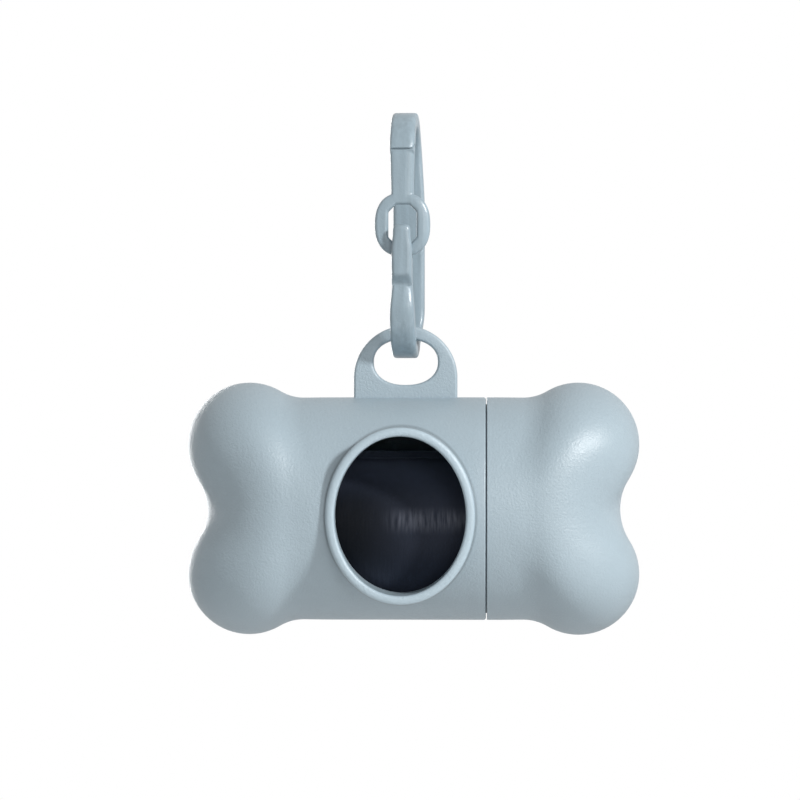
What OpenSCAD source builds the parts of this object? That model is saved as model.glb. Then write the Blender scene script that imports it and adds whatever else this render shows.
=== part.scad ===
// Bone-shaped waste bag dispenser with a one-piece snap clip.
// +X runs along the bone towards the cap, -Y is the side with the window, +Z is up.
// The origin is the centre of the clip's half-round top, where a strap or ring carries it.

/* [Bone] */
// Length of the bone over both ends
bone_l = 85.4; // [80:0.2:95]
// Diameter of the barrel
barrel_d = 42.2; // [40:0.2:46]
// Wall of the barrel
wall = 2.6; // [2.2:0.1:3.2]
// Wall between the bag space and the dip in each end
end_wall = 3; // [2.4:0.1:4]
// How far the bone's middle stands to the right of the clip
bone_shift = 1.5; // [0:0.1:3]
// Distance of the seam from the bone's middle
seam_offset = 13.8; // [10:0.1:16]

/* [Bone ends] */
// Radius of each knuckle of the bone, seen from the front
lobe_r = 11.5; // [11:0.1:12.2]
// Distance between the centres of the two knuckles
lobe_spread = 24.8; // [24:0.1:26]
// Depth of the dip between the two knuckles
dip_depth = 3.55; // [3:0.05:4.5]
// Radius of the hollow curve from the barrel up to a knuckle
neck_r = 8.85; // [7:0.05:11]
// Radius of the pocket behind each knuckle
pocket_r = 6; // [4:0.5:7]
// Depth of that pocket
pocket_depth = 2; // [1:0.5:2.5]
// How far the valley between the knuckles lies below the barrel where its fall starts
valley_dip = 0.3; // [0.1:0.1:0.6]
// Length over which it sinks that far
valley_l = 6; // [3:0.5:7]
// Distance from the bone's middle at which the valley starts to fall away
valley_start = 23.2; // [22.5:0.1:24.5]
// Bluntness of the valley's fall to the tip, where 2 is an ellipse
valley_power = 2.1; // [1.6:0.05:2.3]
// How much fuller than an oval the knuckles stand, as a share of the end's depth
knuckle_full = 0.11; // [0.05:0.01:0.18]

/* [Cap joint] */
// Length of the spigot that the cap slides over
spigot_l = 7; // [5:0.5:9]
// Wall of the spigot
spigot_wall = 1.3; // [1.1:0.1:1.5]
// Gap all round between the spigot and the cap
spigot_gap = 0.1; // [0.05:0.01:0.1]
// Width of the seam that shows
seam_gap = 0.2; // [0.15:0.05:0.4]
// Bevel on the shell's edge of the seam
seam_bevel = 0.35; // [0.15:0.05:0.5]
// Bevel on the cap's edge of the seam
lip_bevel = 0.1; // [0.1:0.05:0.3]
// Width of the key that lines the cap up
key_w = 2.2; // [1.6:0.1:3]
// Gap on each side of the key
key_gap = 0.2; // [0.1:0.05:0.3]

/* [Window] */
// Width of the oval window
window_w = 24.1; // [20:0.1:27]
// Height of the oval window
window_h = 29.2; // [24:0.1:31]
// Width of the raised rim round the window
rim_w = 1.8; // [1.6:0.1:2.4]
// How far the rim stands out in front of the barrel
rim_proud = 1.3; // [0.8:0.1:2]
// How far the window's middle stands below the barrel's axis
window_drop = 0.7; // [0:0.1:1.5]
// Distance of the window's middle to the left of the clip
window_left = 0.5; // [0:0.1:2]

/* [Hanging ear] */
// Width of the ear
ear_w = 19.6; // [18:0.2:22]
// Thickness of the ear
ear_t = 3.4; // [2.8:0.1:3.8]
// Width of the ear's hole
ear_hole_w = 12.2; // [11:0.1:13]
// Height of the ear's hole
ear_hole_h = 8.7; // [8.2:0.1:9.2]
// Squareness of the hole's outline, where 2 is an ellipse
ear_hole_power = 2.2; // [2:0.05:2.5]
// Height of the bar over the hole
ear_bar = 2.5; // [2.2:0.1:3]
// Material between the hole and the barrel
ear_foot = 2.35; // [2:0.05:4]

/* [Clip] */
// Height of the closed loop
clip_h = 46.55; // [42:0.05:52]
// Depth of the closed loop, front to back
clip_depth = 19; // [18:0.1:21]
// Thickness of the loop
clip_t = 2.7; // [2.4:0.1:3]
// Width of the loop at its top and bottom
clip_w = 4.7; // [4.2:0.1:5]
// Width of the spine at its widest
spine_w = 6; // [5:0.1:6.6]
// Turn of the clip about the vertical, in degrees
clip_yaw = 3; // [0:0.5:6]
// Gap between the ear and the loop, also where the ear swings up round the spine
ear_gap = 0.25; // [0.25:0.05:0.5]

/* [Gate] */
// Thickness of the gate strap and of its eyelet
gate_t = 1.8; // [1.4:0.1:2]
// Depth of the block over the gate, from the top of the loop
block_h = 7.1; // [6:0.1:7.6]
// How far the gate lies behind the loop's front
gate_inset = 0.8; // [0.6:0.1:1]
// Width of the strap at the top
strap_w = 4.6; // [4:0.1:4.8]
// Width of the strap above the eyelet
strap_end_w = 4.2; // [3.6:0.1:4.4]
// Length of the strap
strap_l = 8; // [7:0.1:9.5]
// Width of the eyelet
eyelet_w = 10.5; // [9.5:0.1:11.5]
// Height of the eyelet
eyelet_h = 12; // [11:0.1:13]
// Width of the eyelet's hole
eyelet_hole_w = 5.5; // [5:0.1:6]
// Height of the eyelet's hole
eyelet_hole_h = 7.3; // [6.8:0.1:8]
// Gap at the gate's rounded hinge edge
hinge_gap = 0.08; // [0.05:0.01:0.1]
// Squareness of the eyelet's outline, where 2 is an ellipse
eyelet_power = 2.5; // [2:0.1:3.5]
// Squareness of its hole
eyelet_hole_power = 3; // [2:0.1:4]
// Gap between the eyelet and the nose that holds it
gate_gap = 0.25; // [0.2:0.05:0.4]
// Gap between the eyelet's foot and the arm below it
arm_gap = 0.7; // [0.5:0.1:1]

/* [Nose] */
// Thickness of the nose
nose_t = 1.75; // [1.4:0.05:2]
// Length of the nose
nose_l = 10.4; // [9.5:0.1:11]
// Width of the nose at its widest, halfway down
nose_w = 3.95; // [3.6:0.05:4.2]
// Width of the nose's foot and of the arm there
waist_w = 3.5; // [3.2:0.05:4]
// Radius of the nose's tip
nose_tip_r = 1.7; // [1.3:0.05:1.8]
// Radius of the peg that fills the eyelet's hole
peg_r = 1.3; // [1:0.1:1.5]

/* [Bag roll] */
// Diameter of the wound bags
roll_d = 29.2; // [24:0.2:31]
// Length of the wound bags
roll_l = 57; // [50:1:60]
// Outer diameter of the cardboard tube
core_d = 13.4; // [12:0.2:16]
// Wall of the cardboard tube
core_wall = 0.7; // [0.5:0.1:1]
// How far the tube stands out of the bags at each end
core_proud = 0.5; // [0:0.1:1]
// Thickness of the loose outer bag
film_t = 0.25; // [0.2:0.05:0.3]
// Gap between the loose bag's free edge and its root
film_split = 1.5; // [1:0.1:3]
// How far up from the front that free edge lies, in degrees
film_edge_a = 60; // [40:5:80]
// Gap between the roll and the barrel that it lies in
roll_gap = 0.3; // [0.2:0.05:0.5]

/* [Hidden] */
$fn = 96;

SHELL_COLOUR = [0.63, 0.70, 0.74];
CLIP_COLOUR = [0.60, 0.67, 0.71];
BAG_COLOUR = [0.10, 0.12, 0.17];
CORE_COLOUR = [0.66, 0.55, 0.42];

// Steps round a bone end and along its three arcs
AROUND = 60;
NECK_STEPS = 4;
LOBE_STEPS = 12;
DIP_STEPS = 5;
// How fast the valley gives way to the knuckles, going round next to the barrel
VALLEY_FALL = 2.6;
// Share of the way to the tip by which the knuckles are at their fullest
FULL_BY = 1 / 3;
// Points of an oval outline
OVAL_POINTS = 72;
// The end's mesh starts this far below the barrel's surface and this far inside it
SINK = 0.05;
LAP = 2;
// Clear length past a face for every cut
CUT = 1;
// Film lies this far from what it is wound on
FILM_GAP = 0.05;
// The key starts this far inside the seam and is rooted this deep in the cap's wall
KEY_LEAD = 1;
KEY_ROOT = 0.5;

barrel_r = barrel_d / 2;
root_r = barrel_r - SINK;
bore_r = barrel_r - wall;
spigot_r = bore_r + spigot_wall;
socket_r = spigot_r + spigot_gap;
bone_half = bone_l / 2;
dip_reach = bone_half - dip_depth;
cavity_half = dip_reach - end_wall;

// The clip's loop: two half-rounds joined by straight strands
loop_r = clip_depth / 2;
loop_inner_r = loop_r - clip_t;
loop_drop = clip_h - clip_depth;
spine_full_z = -loop_drop / 3;

// The ear's bar lies in the bottom of the loop
ear_edge_share = 1 - pow(spine_w / ear_hole_w, ear_hole_power);
ear_edge_rise = ear_hole_h / 2 * (1 - pow(ear_edge_share, 1 / ear_hole_power));
ear_seat_z = -loop_drop - sqrt(pow(loop_inner_r, 2) - pow(ear_t / 2, 2));
ear_hole_top = ear_seat_z + ear_gap + ear_edge_rise;
ear_hole_z = ear_hole_top - ear_hole_h / 2;
ear_round_z = ear_hole_top + ear_bar - ear_w / 2;
barrel_top_z = ear_hole_z - ear_hole_h / 2 - ear_foot;
axis_z = barrel_top_z - barrel_r;

seam_x = bone_shift + seam_offset;
window_z = axis_z - window_drop;
rim_front = barrel_r + rim_proud;
roll_z = axis_z - (bore_r - roll_d / 2 - roll_gap);

// Heights on the clip's front strand
block_z = loop_r - block_h;
hinge_drop = gate_t / 4;
hinge_z = block_z - hinge_drop;
eyelet_top_z = block_z - strap_l;
eyelet_z = eyelet_top_z - eyelet_h / 2;
nose_tip_z = eyelet_z;
nose_foot_z = nose_tip_z - nose_l;
arm_top_z = eyelet_top_z - eyelet_h - arm_gap;

// Depths on the clip's front strand, all negative
gate_front = -loop_r + gate_inset;
gate_back = gate_front + gate_t;
gate_y = (gate_front + gate_back) / 2;
nose_back = gate_front - gate_gap;
nose_front = nose_back - nose_t;

// ---- outlines ----

// An oval: power 2 is an ellipse, and more is squarer
function oval(w, h, power = 2) = [
    for (i = [0:OVAL_POINTS - 1])
        let (a = 360 * i / OVAL_POINTS)
        [
            w / 2 * sign(cos(a)) * pow(abs(cos(a)), 2 / power),
            h / 2 * sign(sin(a)) * pow(abs(sin(a)), 2 / power)
        ]
];

function arc(c, r, a0, a1, n) = [
    for (i = [0:n - 1])
        let (a = a0 + (a1 - a0) * i / n)
        [c[0] + r * cos(a), c[1] + r * sin(a)]
];

// Profile of a knuckle from the barrel to the tip, as [distance along the axis, radius]:
// a hollow neck, the knuckle round its centre c, and the dip to the tip
function lobe_profile(c, r, neck) =
    let (
        neck_v = root_r + neck,
        neck_u = c[0] - sqrt(pow(r + neck, 2) - pow(neck_v - c[1], 2)),
        neck_a = atan2(c[1] - neck_v, c[0] - neck_u),
        reach = dip_reach - c[0],
        tip_r = (reach * reach + c[1] * c[1] - r * r) / (2 * (r - reach)),
        tip_u = dip_reach + tip_r,
        tip_a = atan(c[1] / (tip_u - c[0]))
    )
    concat(
        arc([neck_u, neck_v], neck, -90, neck_a, NECK_STEPS),
        arc(c, r, 180 + neck_a, -tip_a, LOBE_STEPS),
        [
            for (i = [0:DIP_STEPS])
                let (b = tip_a * (1 - i / DIP_STEPS))
                [tip_u - tip_r * cos(b), tip_r * sin(b)]
        ]
    );

// A quarter of an oval from its side to its far end, as [distance along, half-width]
function quarter(start, reach, half, power, n) = [
    for (i = [0:n])
        let (b = 90 * i / n)
        [start + (reach - start) * pow(sin(b), 2 / power), half * pow(cos(b), 2 / power)]
];

// Profile of the valley between the knuckles: a slight dip, then its fall to the tip
function valley_profile() = concat(
    [
        for (i = [0:NECK_STEPS - 1])
            let (t = i / NECK_STEPS)
            [
                valley_start - valley_l * (1 - t),
                root_r - (valley_dip - SINK) * (1 - cos(180 * t)) / 2
            ]
    ],
    quarter(valley_start, dip_reach, barrel_r - valley_dip, valley_power, LOBE_STEPS + DIP_STEPS)
);

LOBE_PROFILE = lobe_profile([bone_half - lobe_r, lobe_spread / 2], lobe_r, neck_r);
VALLEY_PROFILE = valley_profile();
RINGS = len(LOBE_PROFILE);
END_START = min(LOBE_PROFILE[0][0], VALLEY_PROFILE[0][0]);

// A point of a bone end. Each ring is an oval that the knuckles fill out, and it leans
// from the valley's profile to the knuckle's, evenly at the tip and faster at the barrel.
function end_point(i, a) =
    let (
        s = i / (RINGS - 1),
        fall = 1 + (VALLEY_FALL - 1) * (1 - s),
        share = 1 - pow(cos(a) * cos(a), fall),
        along = LOBE_PROFILE[i][0] * share + VALLEY_PROFILE[i][0] * (1 - share),
        full = 1 + knuckle_full * pow(sin(90 * min(1, s / FULL_BY)) * sin(2 * a), 2)
    )
    [along, VALLEY_PROFILE[i][1] * cos(a) * full, LOBE_PROFILE[i][1] * sin(a)];

// ---- shared shapes ----

// A bone end about the bone's middle, with its tip towards +X
module bone_end() {
    points = concat(
        [
            for (j = [0:AROUND - 1])
                let (a = 360 * j / AROUND)
                [END_START - LAP, root_r * cos(a), root_r * sin(a)]
        ],
        [
            for (i = [0:RINGS - 2], j = [0:AROUND - 1])
                end_point(i, 360 * j / AROUND)
        ],
        [[dip_reach, 0, 0]]
    );
    tip = len(points) - 1;
    faces = concat(
        [[for (j = [0:AROUND - 1]) j]],
        [
            for (i = [0:RINGS - 2], j = [0:AROUND - 1])
                let (k = (j + 1) % AROUND)
                [i * AROUND + j, (i + 1) * AROUND + j, (i + 1) * AROUND + k]
        ],
        [
            for (i = [0:RINGS - 2], j = [0:AROUND - 1])
                let (k = (j + 1) % AROUND)
                [i * AROUND + j, (i + 1) * AROUND + k, i * AROUND + k]
        ],
        [
            for (j = [0:AROUND - 1])
                [(RINGS - 1) * AROUND + j, tip, (RINGS - 1) * AROUND + (j + 1) % AROUND]
        ]
    );
    polyhedron(points, faces, convexity = 6);
}

// A round bar along X from x0 to x1
module bar_x(r, x0, x1) {
    translate([x0, 0, 0])
        rotate([0, 90, 0])
            cylinder(r = r, h = x1 - x0);
}

// Plan of the bag space, as [x, y]: it draws in where the valley outside does
module cavity_plan(start) {
    side = quarter(valley_start, cavity_half, bore_r + CUT / 2, valley_power, LOBE_STEPS);
    polygon(concat(
        [[start, -bore_r - CUT], [valley_start, -bore_r - CUT]],
        [for (p = side) [p[0], -p[1]]],
        [for (i = [LOBE_STEPS:-1:0]) side[i]],
        [[valley_start, bore_r + CUT], [start, bore_r + CUT]]
    ));
}

// The bag space in one end, about the bone's middle: a bore that draws in at the front
// and back, with a round pocket behind each knuckle
module end_cavity(start) {
    bore_end = cavity_half - pocket_depth;
    intersection() {
        bar_x(bore_r, start, bore_end);
        linear_extrude(3 * bore_r, center = true) cavity_plan(start);
    }
    for (side = [-1, 1])
        translate([0, 0, side * (bore_r - wall / 2 - pocket_r)])
            bar_x(pocket_r, bore_end - CUT, bore_end + pocket_depth);
}

// An outline drawn as [x, z], given a thickness from y0 to y1
module plate_y(y0, y1) {
    translate([0, y1, 0])
        rotate([90, 0, 0])
            linear_extrude(y1 - y0)
                children();
}

// An outline drawn as [y, z], given a width along X
module plate_x(w) {
    rotate([90, 0, 90])
        linear_extrude(w, center = true)
            children();
}

// ---- main shell ----

module shell_outside() {
    translate([bone_shift, 0, axis_z]) {
        bar_x(barrel_r, -END_START, seam_offset - seam_gap / 2 - seam_bevel);
        mirror([1, 0, 0]) bone_end();
        translate([seam_offset - seam_gap / 2 - seam_bevel, 0, 0])
            rotate([0, 90, 0])
                cylinder(r1 = barrel_r, r2 = barrel_r - seam_bevel, h = seam_bevel);
        bar_x(spigot_r, 0, seam_offset + spigot_l);
    }
}

module ear() {
    plate_y(-ear_t / 2, ear_t / 2) {
        translate([0, ear_round_z]) circle(d = ear_w);
        translate([-ear_w / 2, barrel_top_z - wall / 2])
            square([ear_w, ear_round_z - barrel_top_z + wall / 2]);
    }
}

module ear_hole() {
    plate_y(-ear_t, ear_t)
        translate([0, ear_hole_z])
            polygon(oval(ear_hole_w, ear_hole_h, ear_hole_power));
}

module window_rim() {
    plate_y(-rim_front, 0)
        translate([-window_left, window_z])
            polygon(oval(window_w + 2 * rim_w, window_h + 2 * rim_w));
}

module window_hole() {
    plate_y(-rim_front - CUT, 0)
        translate([-window_left, window_z])
            polygon(oval(window_w, window_h));
}

module key_slot() {
    translate([seam_x, -key_w / 2 - key_gap, axis_z - spigot_r - CUT])
        cube([spigot_l + CUT, key_w + 2 * key_gap, spigot_wall + 2 * CUT]);
}

module main_shell() {
    color(SHELL_COLOUR)
        difference() {
            union() {
                shell_outside();
                ear();
                window_rim();
            }
            translate([bone_shift, 0, axis_z])
                mirror([1, 0, 0])
                    end_cavity(-seam_offset - spigot_l - CUT);
            ear_hole();
            window_hole();
            key_slot();
        }
}

// ---- end cap ----

module cap_outside() {
    lip = seam_offset + seam_gap / 2;
    bar_x(barrel_r, lip + lip_bevel, END_START);
    bone_end();
    translate([lip, 0, 0])
        rotate([0, 90, 0])
            cylinder(r1 = barrel_r - lip_bevel, r2 = barrel_r, h = lip_bevel);
}

module cap_key() {
    rooted_r = socket_r + KEY_ROOT;
    translate([seam_offset + seam_gap + KEY_LEAD, -key_w / 2, -rooted_r])
        cube([spigot_l - KEY_LEAD, key_w, rooted_r - bore_r]);
}

module end_cap() {
    color(SHELL_COLOUR)
        translate([bone_shift, 0, axis_z]) {
            difference() {
                cap_outside();
                end_cavity(0);
                bar_x(socket_r, 0, seam_offset + spigot_l + spigot_gap);
            }
            cap_key();
        }
}

// ---- clip ----

module stadium(r) {
    circle(r = r);
    translate([0, -loop_drop]) circle(r = r);
    translate([-r, -loop_drop]) square([2 * r, loop_drop]);
}

// The loop without its front strand, as [y, z]
module clip_side() {
    difference() {
        stadium(loop_r);
        stadium(loop_inner_r);
        translate([-loop_r - CUT, arm_top_z])
            square([loop_r + CUT, block_z - arm_top_z]);
    }
}

// Width of the back of the loop, as [x, z]
module spine_outline() {
    low = -loop_drop;
    polygon([
        [-clip_w / 2, loop_r],
        [-clip_w / 2, loop_inner_r],
        [-spine_w / 2, spine_full_z],
        [-spine_w / 2, low],
        [-clip_w / 2, low - loop_inner_r],
        [-clip_w / 2, low - loop_r],
        [clip_w / 2, low - loop_r],
        [clip_w / 2, low - loop_inner_r],
        [spine_w / 2, low],
        [spine_w / 2, spine_full_z],
        [clip_w / 2, loop_inner_r],
        [clip_w / 2, loop_r]
    ]);
}

// Width of the front of the loop, as [x, z]
module arm_outline() {
    polygon([
        [-clip_w / 2, loop_r],
        [-clip_w / 2, block_z],
        [-waist_w / 2, arm_top_z],
        [-waist_w / 2, nose_foot_z],
        [-clip_w / 2, -loop_drop - clip_t],
        [-clip_w / 2, -loop_drop - loop_r],
        [clip_w / 2, -loop_drop - loop_r],
        [clip_w / 2, -loop_drop - clip_t],
        [waist_w / 2, nose_foot_z],
        [waist_w / 2, arm_top_z],
        [clip_w / 2, block_z],
        [clip_w / 2, loop_r]
    ]);
}

module nose_outline() {
    tip_z = nose_tip_z - nose_tip_r;
    widest_z = nose_tip_z - nose_l / 2;
    translate([0, tip_z]) circle(r = nose_tip_r);
    polygon([
        [-nose_tip_r, tip_z],
        [-nose_w / 2, widest_z],
        [-waist_w / 2, nose_foot_z],
        [waist_w / 2, nose_foot_z],
        [nose_w / 2, widest_z],
        [nose_tip_r, tip_z]
    ]);
}

module clip_frame() {
    color(CLIP_COLOUR)
        rotate([0, 0, -clip_yaw])
            difference() {
                union() {
                    intersection() {
                        plate_x(spine_w + CUT) clip_side();
                        plate_y(0, loop_r + CUT) spine_outline();
                    }
                    intersection() {
                        plate_x(spine_w + CUT) clip_side();
                        plate_y(-loop_r - CUT, 0) arm_outline();
                    }
                    plate_y(nose_front, nose_back) nose_outline();
                    translate([0, gate_y, nose_tip_z - nose_tip_r])
                        rotate([90, 0, 0])
                            cylinder(r = peg_r, h = gate_y - nose_front);
                }
                translate([0, gate_y, hinge_z])
                    bar_x(gate_t / 2 + hinge_gap, -clip_w, clip_w);
            }
}

// ---- gate ----

module gate_outline() {
    difference() {
        union() {
            translate([0, eyelet_z])
                polygon(oval(eyelet_w, eyelet_h, eyelet_power));
            polygon([
                [-strap_w / 2, hinge_z],
                [-strap_end_w / 2, eyelet_top_z],
                [-strap_end_w / 2, eyelet_z + eyelet_hole_h / 2],
                [strap_end_w / 2, eyelet_z + eyelet_hole_h / 2],
                [strap_end_w / 2, eyelet_top_z],
                [strap_w / 2, hinge_z]
            ]);
        }
        translate([0, eyelet_z])
            polygon(oval(eyelet_hole_w, eyelet_hole_h, eyelet_hole_power));
    }
}

module clip_gate() {
    color(CLIP_COLOUR)
        rotate([0, 0, -clip_yaw]) {
            plate_y(gate_front, gate_back) gate_outline();
            translate([0, gate_y, hinge_z])
                bar_x(gate_t / 2, -strap_w / 2, strap_w / 2);
        }
}

// ---- bags ----

module tube_x(outer_r, inner_r, l) {
    translate([bone_shift, 0, roll_z])
        difference() {
            bar_x(outer_r, -l / 2, l / 2);
            bar_x(inner_r, -l / 2 - CUT, l / 2 + CUT);
        }
}

module bag_roll() {
    color(BAG_COLOUR)
        tube_x(roll_d / 2 - film_t - FILM_GAP, core_d / 2 + FILM_GAP, roll_l);
}

// The outermost bag: one turn, open where its free edge shows in the window
module leading_bag() {
    color(BAG_COLOUR)
        difference() {
            tube_x(roll_d / 2, roll_d / 2 - film_t, roll_l);
            translate([bone_shift, 0, roll_z])
                rotate([-film_edge_a, 0, 0])
                    translate([-roll_l, -roll_d, 0])
                        cube([2 * roll_l, roll_d, film_split]);
        }
}

module roll_core() {
    color(CORE_COLOUR)
        tube_x(core_d / 2, core_d / 2 - core_wall, roll_l + 2 * core_proud);
}

main_shell();
end_cap();
clip_frame();
clip_gate();
bag_roll();
leading_bag();
roll_core();
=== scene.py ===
"""Looks of the bone-shaped bag dispenser: moulded case and cap, snap clip, and the roll of bags inside."""

import math

import bpy
from mathutils import Matrix, Vector, noise


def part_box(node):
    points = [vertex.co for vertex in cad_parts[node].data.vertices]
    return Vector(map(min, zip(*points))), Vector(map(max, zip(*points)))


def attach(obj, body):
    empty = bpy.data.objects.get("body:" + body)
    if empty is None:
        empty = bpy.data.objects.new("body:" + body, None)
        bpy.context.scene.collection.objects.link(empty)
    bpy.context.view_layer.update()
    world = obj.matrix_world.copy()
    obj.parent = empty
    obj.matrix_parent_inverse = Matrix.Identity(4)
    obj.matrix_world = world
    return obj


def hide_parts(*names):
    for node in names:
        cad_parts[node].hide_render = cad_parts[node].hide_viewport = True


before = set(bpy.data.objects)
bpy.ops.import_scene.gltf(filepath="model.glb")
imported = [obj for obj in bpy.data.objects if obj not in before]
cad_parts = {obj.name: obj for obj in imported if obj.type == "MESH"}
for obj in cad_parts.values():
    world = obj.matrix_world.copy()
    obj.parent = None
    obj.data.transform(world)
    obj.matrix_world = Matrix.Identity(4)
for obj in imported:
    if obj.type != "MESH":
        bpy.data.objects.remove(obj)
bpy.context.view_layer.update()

MM = 0.001
TURN = 2 * math.pi

# Sizes of the solids, in millimetres. Along the bone they count from its middle.
# The barrel, its bore, and the spigot that carries the cap
BARREL_R = 21.1
BORE_R = 18.5
SPIGOT_R, SPIGOT_L, SPIGOT_GAP = 19.8, 7.0, 0.1
# How far the knuckles reach, and the middle of the dip between them
BONE_HALF, DIP_REACH = 42.7, 39.15
# The bag space: where its end wall stands, the point past it that its front and back fall towards, and how
# far from the axis those two start
BORE_END, SPACE_END, SPACE_HALF = 34.15, 36.15, 19.0
# The round pockets in its end wall, behind the knuckles, with the slope at their edge
POCKET_R, POCKET_SLOPE, POCKET_DEPTH, POCKET_RISE = 6.0, 1.2, 2.0, 11.2
# The seam between case and cap, and the key that lines them up
SEAM_OFFSET, SEAM_GAP = 13.8, 0.2
SEAM_BEVEL, LIP_BEVEL = 0.35, 0.1
KEY_W, KEY_GAP, KEY_LEAD = 2.2, 0.2, 1.0
# The knuckles at the top and bottom of each end, and the necks that lead to them
LOBE_R, LOBE_RISE = 11.5, 12.4
NECK_R = 8.85
# The valleys at the front and back of each end: a shallow dip in the barrel, then the fall to the tip
VALLEY_DIP, VALLEY_L, VALLEY_START = 0.3, 6.0, 23.2
# The power of the fall's curve, and how much narrower the valleys are where they start
VALLEY_POWER, VALLEY_FALL = 2.1, 2.6
# How much fuller the knuckles are on the slant, and the share of the way to the tip by which they are so
KNUCKLE_FULL, FULL_BY = 0.11, 1 / 3
# The bone ends start this far under the barrel's skin
SINK = 0.05
# The window, and how far it lies left of and below the middle
WINDOW_W, WINDOW_H = 24.1, 29.2
WINDOW_LEFT, WINDOW_DROP = 0.5, 0.7
# The window rim's width, and how far in front of the axis it stands
RIM_W, RIM_FRONT = 1.8, 22.4
# The hanging ear and its hole
EAR_W, EAR_T = 19.6, 3.4
EAR_HOLE_W, EAR_HOLE_H, EAR_HOLE_POWER = 12.2, 8.7, 2.2
# The bar above the ear's hole, the foot below it, and how far the foot goes into the barrel
EAR_BAR, EAR_FOOT, EAR_SINK = 2.5, 2.35, 1.4
# The clip's loop, counted from the middle of its half-round top
LOOP_R, LOOP_INNER_R, LOOP_DROP = 9.5, 6.8, 27.55
CLIP_W, SPINE_W = 4.7, 6.0
CLIP_YAW = math.radians(3)
ARM_TOP_Z = -18.3
# The hinge line's height and its groove's radius, and the gate's thickness, middle plane and strap
HINGE_Z, HINGE_R = 1.95, 0.98
GATE_T, GATE_Y = 1.8, -7.8
STRAP_W, STRAP_END_W, STRAP_END_Z = 4.6, 4.2, -5.6
# The nose's front, and the peg behind it
NOSE_FRONT = -10.7
PEG_R = 1.3
# The roll of bags on its card core
ROLL_R, ROLL_L = 14.6, 57.0
FILM_T = 0.25
CORE_R, CORE_WALL, CORE_PROUD = 6.7, 0.7, 0.5

# Sizes of the clip that the looks add to the solids', or take up to 1.6 mm away from them, in millimetres.
# The underside of the clip's top block
BLOCK_Z = 2.15
# The arm's narrow waist, and where the arm is back at its full width
WAIST_W, ARM_WIDE_Z = 3.75, -30.25
# The eyelet and its hole, a rectangle with its corners cut off
EYELET_W, EYELET_H, EYELET_POWER, EYELET_Z = 10.4, 11.9, 2.4, -12.1
EYELET_HOLE_W, EYELET_HOLE_H, EYELET_CORNER = 5.35, 7.5, 1.4
# The nose, from its square-set tip down to where it has the arm's width
NOSE_W, NOSE_BACK = 3.9, -8.9
NOSE_TIP_R, NOSE_TIP_Z, NOSE_TIP_POWER = 1.65, -12.1, 3.5
NOSE_WIDEST_Z, NOSE_FOOT_Z = -16.8, -22.0
# The nose runs out into the arm here, sloping back to this depth over this length
NOSE_END_Z, FOOT_Y, FOOT_L = -23.6, -9.05, 2.4
# The arm is hollowed below the nose
FOOT_HOLLOW, HOLLOW_L = 0.45, 4.0


def middle(node):
    """The middle of a solid's box, in millimetres."""
    low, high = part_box(node)
    return (low + high) / 2 / MM


AXIS_Z = middle("end_cap").z
ROLL_Z = middle("roll_core").z
BONE_X = middle("roll_core").x
EAR_HOLE_Z = AXIS_Z + BARREL_R + EAR_FOOT + EAR_HOLE_H / 2
WINDOW_Z = AXIS_Z - WINDOW_DROP


# ---- hand tools ----

# Corners this near to each other are one, and the width up to which slivers left by cuts close, in metres
SAME_PLACE, SLIVER = 1e-6, 2e-6
# The least share of a direction that a length is divided by
TINY = 1e-6
# The angle up to which edges shade round, and how far large faces outweigh small ones in that
ROUND_ANGLE, FACE_WEIGHT = 28, 60


def pick(obj):
    """Makes an object the only one selected, and the active one."""
    bpy.ops.object.select_all(action="DESELECT")
    obj.select_set(True)
    bpy.context.view_layer.objects.active = obj


def weld(obj, distance=SAME_PLACE):
    """Joins corners that lie together, and turns every face outwards."""
    pick(obj)
    bpy.ops.object.mode_set(mode="EDIT")
    bpy.ops.mesh.select_all(action="SELECT")
    bpy.ops.mesh.remove_doubles(threshold=distance)
    bpy.ops.mesh.normals_make_consistent(inside=False)
    bpy.ops.object.mode_set(mode="OBJECT")


def close_edges(obj):
    """Closes every open edge loop with a face, and turns every face outwards."""
    pick(obj)
    bpy.ops.object.mode_set(mode="EDIT")
    bpy.ops.mesh.select_all(action="SELECT")
    bpy.ops.mesh.fill_holes(sides=0)
    bpy.ops.mesh.select_all(action="SELECT")
    bpy.ops.mesh.normals_make_consistent(inside=False)
    bpy.ops.object.mode_set(mode="OBJECT")


def sheet(name, rows, columns, point):
    """A grid of cells, welded where it closes. point(row, column) gives each corner, in millimetres."""
    bpy.ops.object.select_all(action="DESELECT")
    bpy.ops.mesh.primitive_grid_add(x_subdivisions=columns, y_subdivisions=rows, size=1)
    obj = bpy.context.object
    obj.name = name
    for index, vertex in enumerate(obj.data.vertices):
        row, column = divmod(index, columns + 1)
        vertex.co = Vector(point(row, column)) * MM
    weld(obj)
    return obj


def fitted_block(name, low, high, bevel):
    """A block with bevelled edges between two corners, in millimetres."""
    low, high = Vector(low), Vector(high)
    bpy.ops.object.select_all(action="DESELECT")
    bpy.ops.mesh.primitive_cube_add(size=1)
    obj = bpy.context.object
    obj.name = name
    for vertex in obj.data.vertices:
        place = (low + high) / 2 + Vector(a * b for a, b in zip(vertex.co, high - low))
        vertex.co = place * MM
    bpy.ops.object.mode_set(mode="EDIT")
    bpy.ops.mesh.select_all(action="SELECT")
    bpy.ops.mesh.bevel(offset=bevel * MM, segments=3, affect="EDGES")
    bpy.ops.object.mode_set(mode="OBJECT")
    return obj


def change(obj, kind, **settings):
    """Adds a modifier and applies it."""
    pick(obj)
    modifier = obj.modifiers.new(kind, kind)
    for setting, value in settings.items():
        setattr(modifier, setting, value)
    bpy.ops.object.modifier_apply(modifier=modifier.name)


def join_with(obj, tool):
    """Joins a body to an object, and uses the body up."""
    change(obj, "BOOLEAN", operation="UNION", solver="EXACT", object=tool)
    bpy.data.objects.remove(tool)


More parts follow.
